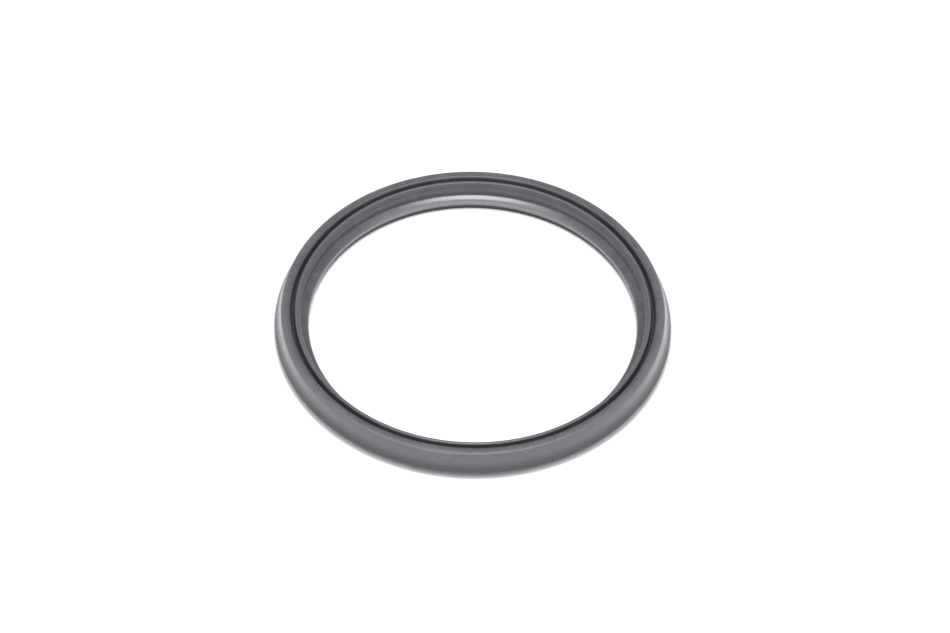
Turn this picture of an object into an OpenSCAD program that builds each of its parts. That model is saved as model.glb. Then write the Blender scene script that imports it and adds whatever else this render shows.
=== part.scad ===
// Moulded rubber seal ring for a charge-air hose coupling.
// It lies on its foot, with the groove between its two lips facing up.
// The whole ring is one section, turned about the Z axis.

/* [Overall] */
// Largest outside diameter, on the edge of the outer lip
outer_d = 70.0; // [69.2:0.1:90]
// Inside diameter of the land that grips the spigot
bore_d = 58.0; // [40:0.5:59]
// Height of the ring, from its foot to its rim
ring_h = 5.2; // [4.8:0.1:8]

/* [Outer lip] */
// How far the lip's edge stands out past the rim
flare = 1.18; // [1:0.02:2]
// How far the skirt at the foot of the lip's wall stands out
skirt_w = 0.78; // [0.5:0.02:0.9]
// Height of that skirt, up to the bend in the wall
skirt_h = 1.2; // [0.8:0.05:1.6]
// Width of the lip's edge along the axis
edge_w = 0.3; // [0.2:0.05:0.8]
// Height of the edge's lower side above the foot
edge_h = 1.35; // [0.4:0.05:1.6]
// How far the foot's outside lies in from the edge
edge_undercut = 1.3; // [0.4:0.05:2]
// Width of the flat rim
rim_w = 1.6; // [1.2:0.02:2]

/* [Groove] */
// Width of the groove at its mouth
groove_w = 0.76; // [0.5:0.02:1]
// Depth of the groove below the rim
groove_depth = 1.6; // [0.8:0.1:2.8]
// How far each side of the groove leans in over its depth
groove_draft = 0.1; // [0.02:0.01:0.15]

/* [Inner lip] */
// Depth of the inner lip's crest below the rim
crest_drop = 0.12; // [0:0.02:0.3]
// Width of the crest
crest_w = 0.6; // [0.4:0.02:0.7]
// How far the inside of the crest lies below its outside
crest_fall = 0.04; // [0:0.01:0.25]
// Width of the bevel inside the crest
bevel_w = 0.48; // [0.3:0.02:0.7]
// Drop of that bevel
bevel_h = 0.84; // [0.4:0.02:1]
// How far the neck below the bevel leans in
neck_lean = 0; // [0:0.02:0.3]

/* [Seal land] */
// Height of the land's lower edge above the foot
land_h = 1.4; // [0.8:0.05:1.5]
// Width of the land along the axis
land_w = 0.3; // [0.26:0.02:0.5]
// Width of the slope that leads up and out from the land
lead_w = 0.68; // [0.3:0.02:0.8]
// Height of that slope
lead_h = 0.46; // [0.2:0.02:0.7]
// Rise across the ledge, from the top of that slope to the neck
ledge_h = 0.26; // [0.1:0.02:0.4]
// How far the foot's inside lies out from the land
land_undercut = 0.4; // [0.2:0.05:1]

/* [Edges] */
// Radius on both sides of the outer lip's edge
edge_r = 0.2; // [0.1:0.05:0.4]
// Radius of the bend between the skirt and the wall above it
bend_r = 3; // [0.5:0.1:6]
// Radius on the outer corner of the rim
rim_corner_r = 0.45; // [0.1:0.05:0.8]
// Radius on the mouth of the groove, at the rim
groove_mouth_r = 0.35; // [0.05:0.01:0.4]
// Radius in the two corners of the groove's floor
groove_floor_r = 0.2; // [0.1:0.02:0.4]
// Radius on both sides of the inner lip's crest
crest_r = 0.16; // [0.05:0.01:0.2]
// Radius on the corner between the neck and the ledge
neck_foot_r = 0.2; // [0.05:0.01:0.3]
// Radius between the ledge and the slope below it
ledge_r = 0.6; // [0.1:0.05:1]
// Radius on the corners of the land, the foot and the bevel
soft_r = 0.12; // [0.05:0.01:0.2]

/* [Hidden] */
$fn = 180;

// Most of a straight side that one rounding may use up, and the widest step round its arc in degrees
most_of_side = 0.48;
arc_step = 12;

edge_radius = outer_d / 2;
skirt_radius = edge_radius - skirt_w;
rim_radius = edge_radius - flare;
rim_inner_radius = rim_radius - rim_w;
crest_outer_radius = rim_inner_radius - groove_w;
crest_inner_radius = crest_outer_radius - crest_w;
crest_z = ring_h - crest_drop;
crest_inner_z = crest_z - crest_fall;
groove_floor_z = ring_h - groove_depth;
neck_top_radius = crest_inner_radius - bevel_w;
neck_foot_radius = neck_top_radius - neck_lean;
land_radius = bore_d / 2;
land_top_z = land_h + land_w;
ledge_inner_z = land_top_z + lead_h;

// Each corner of the section: distance from the axis, height, and the radius that rounds it.
section_corners = [
    [land_radius + land_undercut, 0, soft_r],
    [edge_radius - edge_undercut, 0, soft_r],
    [edge_radius, edge_h, edge_r],
    [edge_radius, edge_h + edge_w, edge_r],
    [skirt_radius, edge_h + edge_w + skirt_h, bend_r],
    [rim_radius, ring_h, rim_corner_r],
    [rim_inner_radius, ring_h, groove_mouth_r],
    [rim_inner_radius - groove_draft, groove_floor_z, groove_floor_r],
    [crest_outer_radius + groove_draft, groove_floor_z, groove_floor_r],
    [crest_outer_radius, crest_z, crest_r],
    [crest_inner_radius, crest_inner_z, crest_r],
    [neck_top_radius, crest_inner_z - bevel_h, soft_r],
    [neck_foot_radius, ledge_inner_z + ledge_h, neck_foot_r],
    [land_radius + lead_w, ledge_inner_z, ledge_r],
    [land_radius, land_top_z, soft_r],
    [land_radius, land_h, soft_r]
];

// Points of the arc that rounds corner b, between its neighbours a and c.
// A radius too large for its sides comes down to what they hold.
function rounded(a, b, c, r) =
    let (
        side_a = [a[0] - b[0], a[1] - b[1]],
        side_c = [c[0] - b[0], c[1] - b[1]],
        to_a = side_a / norm(side_a),
        to_c = side_c / norm(side_c),
        half = acos(to_a * to_c) / 2,
        fit_r = min(r, most_of_side * min(norm(side_a), norm(side_c)) * tan(half)),
        along = fit_r / tan(half),
        middle = [b[0], b[1]] + (to_a + to_c) / norm(to_a + to_c) * fit_r / sin(half),
        start = [b[0], b[1]] + to_a * along - middle,
        end = [b[0], b[1]] + to_c * along - middle,
        from = atan2(start[1], start[0]),
        turn = (atan2(end[1], end[0]) - from + 540) % 360 - 180,
        steps = max(2, ceil(abs(turn) / arc_step))
    )
    [for (i = [0 : steps]) middle + fit_r * [cos(from + turn * i / steps), sin(from + turn * i / steps)]];

function rounded_outline(corners) =
    let (n = len(corners))
    [for (i = [0 : n - 1])
        for (p = rounded(corners[(i + n - 1) % n], corners[i], corners[(i + 1) % n], corners[i][2])) p];

module seal_ring() {
    color([0.17, 0.17, 0.18])
        rotate_extrude()
            polygon(rounded_outline(section_corners));
}

seal_ring();
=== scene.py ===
import math

import bmesh
import bpy
from mathutils import Matrix, Vector


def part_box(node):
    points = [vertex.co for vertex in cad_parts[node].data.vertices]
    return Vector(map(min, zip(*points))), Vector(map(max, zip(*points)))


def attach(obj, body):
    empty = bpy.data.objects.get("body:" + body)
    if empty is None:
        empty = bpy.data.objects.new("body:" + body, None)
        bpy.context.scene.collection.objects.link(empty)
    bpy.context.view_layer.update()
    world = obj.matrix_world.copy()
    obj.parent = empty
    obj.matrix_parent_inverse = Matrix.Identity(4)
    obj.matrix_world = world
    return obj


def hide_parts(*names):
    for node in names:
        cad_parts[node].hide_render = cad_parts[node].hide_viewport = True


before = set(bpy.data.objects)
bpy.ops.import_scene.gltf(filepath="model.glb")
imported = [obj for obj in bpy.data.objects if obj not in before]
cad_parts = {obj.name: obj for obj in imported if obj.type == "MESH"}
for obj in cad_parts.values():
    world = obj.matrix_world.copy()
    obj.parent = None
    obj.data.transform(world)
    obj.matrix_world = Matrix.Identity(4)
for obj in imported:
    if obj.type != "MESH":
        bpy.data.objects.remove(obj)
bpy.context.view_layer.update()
mm = 0.001
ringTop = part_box("seal_ring")[1].z
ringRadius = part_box("seal_ring")[1].x
print("frame loaded, ring", round(ringRadius / mm * 2, 2), "mm across,", round(ringTop / mm, 2), "mm high")


# Shader sockets that take part in plain expressions
class Wire:
    def __init__(self, net, socket):
        self.net = net
        self.socket = socket

    def maths(self, operation, first, second):
        return self.net.add("ShaderNodeMath", {"operation": operation}, {0: first, 1: second})

    def __add__(self, other):
        return self.maths("ADD", self, other)

    def __sub__(self, other):
        return self.maths("SUBTRACT", self, other)

    def __rsub__(self, other):
        return self.maths("SUBTRACT", other, self)

    def __mul__(self, other):
        return self.maths("MULTIPLY", self, other)

    def __truediv__(self, other):
        return self.maths("DIVIDE", self, other)

    def __pow__(self, other):
        return self.maths("POWER", self, other)

    __radd__ = __add__


# The nodes of one material or world: every node comes from add()
class Net:
    def __init__(self, owner):
        owner.use_nodes = True
        self.tree = owner.node_tree
        self.tree.nodes.clear()

    def add(self, kind, settings, sockets, out=0):
        node = self.tree.nodes.new(kind)
        for key, value in settings.items():
            setattr(node, key, value)
        for key, value in sockets.items():
            if isinstance(value, Wire):
                self.tree.links.new(value.socket, node.inputs[key])
            else:
                node.inputs[key].default_value = value
        return Wire(self, node.outputs[out]) if node.outputs else node

    # A smooth ramp from start, at or below low, to end, at or above high
    def ramp(self, value, low, high, start, end):
        settings = {"interpolation_type": "SMOOTHSTEP"}
        return self.add("ShaderNodeMapRange", settings, {0: value, 1: low, 2: high, 3: start, 4: end})

    def rise(self, value, low, high):
        return self.ramp(value, low, high, 0.0, 1.0)

    def fall(self, value, low, high):
        return self.ramp(value, low, high, 1.0, 0.0)

    def axes(self, vector):
        return [self.add("ShaderNodeSeparateXYZ", {}, {0: vector}, out=i) for i in range(3)]

    def blendColour(self, share, first, second):
        settings = {"data_type": "RGBA", "blend_type": "MIX"}
        return self.add("ShaderNodeMix", settings, {0: share, 6: first, 7: second}, out=2)

    def noise(self, vector, scale, detail, roughness):
        sockets = {"Vector": vector, "Scale": scale, "Detail": detail, "Roughness": roughness}
        return self.add("ShaderNodeTexNoise", {}, sockets)


# The ring's section, in millimetres
ring = {
    "footInner": 29.4,
    "footOuter": 33.7,
    "edgeLow": 1.35,         # the outer lip's edge, above the foot
    "edgeHigh": 1.65,
    "edgeRound": 0.2,
    "skirtWidth": 0.78,      # the skirt between that edge and the bend in the wall
    "skirtHeight": 1.2,
    "bendRound": 3.0,
    "flare": 1.18,           # how far the edge stands out past the rim
    "rimWidth": 1.64,
    "rimRound": 0.75,
    "mouthRound": 0.35,
    "grooveWidth": 0.8,
    "grooveDepth": 1.6,
    "grooveDraft": 0.1,
    "grooveRound": 0.2,
    "crestDrop": 0.12,       # below the rim
    "crestWidth": 0.52,
    "crestFall": 0.04,       # from its outside to its inside
    "crestRound": 0.21,
    "bevelWidth": 0.48,
    "bevelHeight": 0.84,
    "neckRound": 0.2,
    "ledgeHeight": 0.26,
    "ledgeRound": 2.4,
    "leadWidth": 0.68,       # the slope from the ledge down to the land
    "leadHeight": 0.46,
    "landRadius": 29.0,
    "landHigh": 1.7,
    "landLow": 1.28,
    "softRound": 0.12,
    "roundSteps": 5,         # faces across each rounding
    "turns": 480,            # divisions round the ring
    "cutLength": 0.22,       # longest stretch of section between two rows of faces
}


# Radii and heights of the section's edges
def sectionEdges(size, outer, top):
    rimOuter = outer - size["flare"]
    rimInner = rimOuter - size["rimWidth"]
    crestOuter = rimInner - size["grooveWidth"]
    crestInner = crestOuter - size["crestWidth"]
    crestTop = top - size["crestDrop"]
    return {
        "outer": outer,
        "top": top,
        "rimOuter": rimOuter,
        "rimInner": rimInner,
        "crestOuter": crestOuter,
        "crestInner": crestInner,
        "neck": crestInner - size["bevelWidth"],
        "land": size["landRadius"],
        "crestTop": crestTop,
        "bevelTop": crestTop - size["crestFall"],
        "bevelFoot": crestTop - size["crestFall"] - size["bevelHeight"],
        "grooveFloor": top - size["grooveDepth"],
        "skirtTop": size["edgeHigh"] + size["skirtHeight"],
        "edgeHigh": size["edgeHigh"],
        "ledge": size["landHigh"] + size["leadHeight"],
        "landLow": size["landLow"],
    }


# Radius, height and rounding of each corner
def sectionCorners(size, edges):
    return [
        (size["footInner"], 0, size["softRound"]),
        (size["footOuter"], 0, size["softRound"]),
        (edges["outer"], size["edgeLow"], size["edgeRound"]),
        (edges["outer"], edges["edgeHigh"], size["edgeRound"]),
        (edges["outer"] - size["skirtWidth"], edges["skirtTop"], size["bendRound"]),
        (edges["rimOuter"], edges["top"], size["rimRound"]),
        (edges["rimInner"], edges["top"], size["mouthRound"]),
        (edges["rimInner"] - size["grooveDraft"], edges["grooveFloor"], size["grooveRound"]),
        (edges["crestOuter"] + size["grooveDraft"], edges["grooveFloor"], size["grooveRound"]),
        (edges["crestOuter"], edges["crestTop"], size["crestRound"]),
        (edges["crestInner"], edges["bevelTop"], size["crestRound"]),
        (edges["neck"], edges["bevelFoot"], size["softRound"]),
        (edges["neck"], edges["ledge"] + size["ledgeHeight"], size["neckRound"]),
        (edges["land"] + size["leadWidth"], edges["ledge"], size["ledgeRound"]),
        (edges["land"], size["landHigh"], size["softRound"]),
        (edges["land"], edges["landLow"], size["softRound"]),
    ]


def roundCorner(bm, vert, before, after, radius, steps):
    half = (before - vert.co).angle(after - vert.co) / 2
    bmesh.ops.bevel(bm, geom=[vert], offset=radius / math.tan(half), offset_type="OFFSET",
                    affect="VERTICES", segments=steps, profile=0.5, material=-1)


def makeRing(size, edges):
    corners = sectionCorners(size, edges)
    points = [Vector((r * mm, 0, z * mm)) for r, z, rounding in corners]
    bm = bmesh.new()
    verts = [bm.verts.new(p) for p in points]
    bm.faces.new(verts)
    for i, vert in enumerate(verts):
        after = points[(i + 1) % len(points)]
        roundCorner(bm, vert, points[i - 1], after, corners[i][2] * mm, size["roundSteps"])
    bmesh.ops.delete(bm, geom=bm.faces[:], context="FACES_ONLY")
    for edge in bm.edges[:]:
        cuts = math.ceil(edge.calc_length() / (size["cutLength"] * mm)) - 1
        if cuts > 0:
            bmesh.ops.subdivide_edges(bm, edges=[edge], cuts=cuts)
    bmesh.ops.spin(bm, geom=bm.verts[:] + bm.edges[:], cent=(0, 0, 0), axis=(0, 0, 1),
                   angle=math.tau, steps=size["turns"], use_merge=True)
    bmesh.ops.remove_doubles(bm, verts=bm.verts[:], dist=0.001 * mm)
    bmesh.ops.recalc_face_normals(bm, faces=bm.faces[:])
    for face in bm.faces:
        face.smooth = True
    mesh = bpy.data.meshes.new("seal_ring_skin")
    bm.to_mesh(mesh)
    bm.free()
    piece = bpy.data.objects.new("seal_ring_skin", mesh)
    bpy.context.scene.collection.objects.link(piece)
    return piece


rubber = {
    "base": (0.072, 0.071, 0.079, 1),
    "pale": (0.118, 0.117, 0.127, 1),
    # the colour of painted shade
    "dark": (0.022, 0.022, 0.026, 1),
    # the pale colour of painted light on the land
    "paintedLightPale": (0.22, 0.218, 0.233, 1),

    # How far the colour turns from the base towards the pale one, or back: random tone, painted light and
    # painted shade
    "evenShare": 0.5,        # everywhere
    "blotch": 0.7,
    "speckle": 0.3,
    "rimSpeckle": 1.3,       # added on the rim
    "streak": 0.2,           # in the fine streaks that run round the ring
    "slopePaintedLight": 0.45,       # painted light on the land and the slope above it
    # painted highlight along the crest
    "crestPaintedHighlight": 0.6,
    "rimPaintedLight": 0.4,          # painted light, for each millimetre outwards on the rim
    # painted shade on the neck
    "neckPaintedShade": 0.25,
    "wallPaintedShade": 0.5,        # painted shade on the outer lip's wall

    # How far it turns dark with painted shade, or pale with painted light
    "groovePaintedShade": 0.7,       # painted shade on the groove's floor
    "bevelPaintedShade": 0.3,        # painted shade on the bevel inside the crest
    # painted deeper shade on the outer lip's wall
    "wallPaintedDeepShade": 0.42,
    "footPaintedShade": 0.9,         # painted shade on the foot's inside, below the land
    # painted light on the land
    "landPaintedLight": 0.75,

    "roughness": 0.26,
    "rimRoughness": 0.5,
    "roundingMatt": 0.25,    # added on the rounding outside the rim
    "bevelMatt": 0.3,        # added on the bevel
    "blotchMatt": 0.12,
    "streakMatt": 0.08,
    "footPaintedShadeMatt": 0.5,         # how far the foot's inside turns to a dark matt surface with no gloss at all, painted shade
    "index": 1.55,
    "skinGloss": 1.0,        # the smooth skin on the upper wall
    "skinThin": 0.3,         # how far that skin fades on the rounding above it
    "skinRoughness": 0.42,
    "skinIndex": 1.6,

    # Patterns: cells to a metre, and how high each stands in the bump
    "grainScale": 3200.0,
    "speckleScale": 2600.0,
    "blotchScale": 260.0,
    "streakScale": 5.0,      # cells across one unit of streakAround and streakApart
    "streakAround": 2.0,     # low, so that the streaks are long
    "streakApart": 1.4,      # for each millimetre across the section
    "grainHeight": 0.15,
    "rimGrainHeight": 0.65,  # added on the rim
    "blotchHeight": 0.15,
    "streakHeight": 0.12,
    "bumpStrength": 0.3,
    "bumpDepth": 0.03,       # millimetres
}


def rubberMaterial(values, edges):
    material = bpy.data.materials.new("moulded_rubber")
    net = Net(material)
    place = net.add("ShaderNodeTexCoord", {}, {}, out="Object")
    x, y, z = [axis / mm for axis in net.axes(place)]
    radius = (x * x + y * y) ** 0.5

    # Each part of the section lies past, within, above or below some of its edges.
    # Both numbers are millimetres from the edge: where the change starts and where it ends.
    def past(edge, start, end):
        return net.rise(radius, edges[edge] + start, edges[edge] + end)

    def within(edge, start, end):
        return net.fall(radius, edges[edge] + start, edges[edge] + end)

    def above(edge, start, end):
        return net.rise(z, edges[edge] + start, edges[edge] + end)

    def below(edge, start, end):
        return net.fall(z, edges[edge] + start, edges[edge] + end)

    rim = above("top", -0.2, -0.04) * past("rimInner", -0.28, 0.02)
    rimSide = past("rimOuter", -0.72, -0.42)
    corner = above("top", -0.8, -0.3) * rimSide
    rounding = above("top", -0.48, -0.25) * rimSide
    wall = past("rimOuter", -0.32, -0.02) * above("edgeHigh", -0.35, 0.25) * (1 - corner)
    upperWall = past("rimOuter", -0.42, -0.22) * above("edgeHigh", -0.35, 1.75)
    groove = past("crestOuter", -0.08, 0.12) * within("rimInner", -0.03, 0.12)
    groove = groove * below("grooveFloor", 0.2, 0.5)
    crest = past("crestInner", -0.06, 0.14) * within("crestOuter", 0.02, 0.22)
    crest = crest * above("crestTop", -0.18, -0.08)
    bevel = within("crestInner", -0.01, 0.14) * above("bevelFoot", -0.1, 0.1)
    neck = within("neck", 0.12, 0.22) * above("ledge", 0.34, 0.64)
    slope = within("land", 0.1, 0.4)
    land = within("land", 0.06, 0.16) * above("landLow", -0.1, 0.02)
    foot = within("neck", 0.12, 0.62) * below("landLow", -0.12, 0.0)

    grain = net.noise(place, values["grainScale"], 4.0, 0.6)
    speckle = net.noise(place, values["speckleScale"], 3.0, 0.7)
    blotch = net.noise(place, values["blotchScale"], 5.0, 0.55)
    apart = z * values["streakApart"] + radius * values["streakApart"]
    around = net.add("ShaderNodeCombineXYZ", {}, {
        0: x / radius * values["streakAround"], 1: y / radius * values["streakAround"], 2: apart})
    streak = net.noise(around, values["streakScale"], 4.0, 0.6)

    share = values["evenShare"] + (blotch - 0.5) * values["blotch"]
    share = share + (streak - 0.5) * values["streak"] * (1 - rim)
    share = share + (speckle - 0.5) * (values["speckle"] + rim * values["rimSpeckle"])
    # Painted light on the slope, the crest and the rim's outer part; painted shade on the neck and the
    # outer lip's wall
    share = share + slope * values["slopePaintedLight"] + crest * values["crestPaintedHighlight"]
    share = share + rim * (radius - edges["rimInner"] - 0.72) * values["rimPaintedLight"]
    share = share - neck * values["neckPaintedShade"] - wall * values["wallPaintedShade"]
    colour = net.blendColour(net.rise(share, 0.2, 0.8), values["base"], values["pale"])
    # Painted light on the land
    colour = net.blendColour(land * values["landPaintedLight"], colour, values["paintedLightPale"])
    # Painted shade on the foot, in the groove, on the bevel and on the outer lip's wall
    darker = {"footPaintedShade": foot, "groovePaintedShade": groove, "bevelPaintedShade": bevel, "wallPaintedDeepShade": wall}
    for key, part in darker.items():
        colour = net.blendColour(part * values[key], colour, values["dark"])

    roughness = values["roughness"] + rim * (values["rimRoughness"] - values["roughness"])
    roughness = roughness + (blotch - 0.5) * values["blotchMatt"] + (streak - 0.5) * values["streakMatt"]
    roughness = roughness + bevel * values["bevelMatt"] + rounding * values["roundingMatt"]
    height = grain * (values["grainHeight"] + rim * values["rimGrainHeight"])
    height = height + blotch * values["blotchHeight"] + streak * values["streakHeight"]
    bump = net.add("ShaderNodeBump", {}, {
        "Height": height, "Strength": values["bumpStrength"], "Distance": values["bumpDepth"] * mm})
    gloss = net.add("ShaderNodeBsdfPrincipled", {}, {
        "Base Color": colour, "Roughness": roughness, "Normal": bump, "IOR": values["index"],
        "Coat Weight": upperWall * values["skinGloss"] * (1 - rounding * values["skinThin"]),
        "Coat Roughness": values["skinRoughness"], "Coat IOR": values["skinIndex"]})
    # A dark matt surface for the painted shade on the foot's inside
    matt = net.add("ShaderNodeBsdfDiffuse", {}, {"Color": values["dark"]})
    mixed = net.add("ShaderNodeMixShader", {}, {0: foot * values["footPaintedShadeMatt"], 1: gloss, 2: matt})
    net.add("ShaderNodeOutputMaterial", {}, {"Surface": mixed})
    return material


ringEdges = sectionEdges(ring, ringRadius / mm, ringTop / mm)
skin = makeRing(ring, ringEdges)
skin.data.materials.append(rubberMaterial(rubber, ringEdges))
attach(skin, "root")
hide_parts("seal_ring")
print("ring made,", len(skin.data.polygons), "faces")

studio = {
    "floorSize": 6.0,
    "floorColour": (0.95, 0.95, 0.95, 1),
    "floorLift": 0.04,       # share of plain white that the camera sees in the floor
    "sky": 0.12,             # level of the world all round
    "lowSky": 0.9,           # level added near the horizon, but not behind the ring
    "frontSky": 2.8,         # level added to the world's upper front
    # Where each of these fades, up or to the back, on a world one unit in radius
    "lowSkyTop": (0.3, 0.6),
    "lowSkyBack": (0.3, 0.75),
    "frontSkyFoot": (0.66, 0.86),
    "frontSkyBack": (-0.2, 0.15),
    "keySize": 0.43,         # metres across
    "keyPower": 6.5,         # watts
    "keyPlace": (0.0, 0.0, 1.0),
    "tint": (1.0, 0.99, 1.01),
}


def floorMaterial(values):
    material = bpy.data.materials.new("pale_floor")
    net = Net(material)
    path = net.add("ShaderNodeLightPath", {}, {}, out="Is Camera Ray")
    seen = path + net.add("ShaderNodeLightPath", {}, {}, out="Is Glossy Ray")
    plain = net.add("ShaderNodeBsdfDiffuse", {}, {"Color": values["floorColour"]})
    white = net.add("ShaderNodeEmission", {}, {"Color": (1, 1, 1, 1), "Strength": 1.0})
    mixed = net.add("ShaderNodeMixShader", {}, {0: seen * values["floorLift"], 1: plain, 2: white})
    net.add("ShaderNodeOutputMaterial", {}, {"Surface": mixed})
    return material


def makeFloor(values):
    bm = bmesh.new()
    bmesh.ops.create_grid(bm, x_segments=1, y_segments=1, size=values["floorSize"] / 2)
    mesh = bpy.data.meshes.new("floor")
    bm.to_mesh(mesh)
    bm.free()
    floor = bpy.data.objects.new("floor", mesh)
    floor.data.materials.append(floorMaterial(values))
    bpy.context.scene.collection.objects.link(floor)


def makeWorld(values):
    world = bpy.data.worlds.new("studio")
    net = Net(world)
    x, y, z = net.axes(net.add("ShaderNodeTexCoord", {}, {}, out="Generated"))
    low = net.fall(z, *values["lowSkyTop"]) * net.fall(y, *values["lowSkyBack"])
    front = net.rise(z, *values["frontSkyFoot"]) * net.fall(y, *values["frontSkyBack"])
    level = values["sky"] + low * values["lowSky"] + front * values["frontSky"]
    camera = net.add("ShaderNodeLightPath", {}, {}, out="Is Camera Ray")
    background = net.add("ShaderNodeBackground", {}, {
        "Color": (*values["tint"], 1), "Strength": level + camera * (1 - level)})
    net.add("ShaderNodeOutputWorld", {}, {"Surface": background})
    bpy.context.scene.world = world


def makeLamp(values):
    lamp = bpy.data.lights.new("key", "AREA")
    lamp.shape = "DISK"
    lamp.size = values["keySize"]
    lamp.energy = values["keyPower"]
    lamp.color = values["tint"]
    key = bpy.data.objects.new("key", lamp)
    key.location = values["keyPlace"]
    key.rotation_euler = Vector(values["keyPlace"]).to_track_quat("Z", "Y").to_euler()
    bpy.context.scene.collection.objects.link(key)


makeFloor(studio)
makeWorld(studio)
makeLamp(studio)
print("floor and light made")

view = {
    "elevation": 47.75,      # degrees above the floor
    "roll": 1.15,            # degrees, the right side lower
    "distance": 0.940,
    "lens": 202.3,
    "aimRight": 0.34 * mm,   # the picture's centre, from the centre of the rim
    "aimUp": -1.33 * mm,
}


def makeCamera(values):
    lift = math.radians(values["elevation"])
    turn = math.radians(values["roll"])
    back = Vector((0, -math.cos(lift), math.sin(lift)))
    right = Vector((1, 0, 0))
    up = back.cross(right)
    pictureRight = right * math.cos(turn) + up * math.sin(turn)
    pictureUp = up * math.cos(turn) - right * math.sin(turn)
    aim = Vector((0, 0, ringTop)) + pictureRight * values["aimRight"] + pictureUp * values["aimUp"]
    camera = bpy.data.objects.new("camera", bpy.data.cameras.new("camera"))
    camera.data.lens = values["lens"]
    camera.data.clip_start = 0.01
    camera.data.clip_end = 20
    turned = Matrix((pictureRight, pictureUp, back)).transposed().to_4x4()
    camera.matrix_world = Matrix.Translation(aim + back * values["distance"]) @ turned
    bpy.context.scene.collection.objects.link(camera)
    bpy.context.scene.camera = camera


makeCamera(view)
bpy.context.scene.view_settings.view_transform = "Standard"
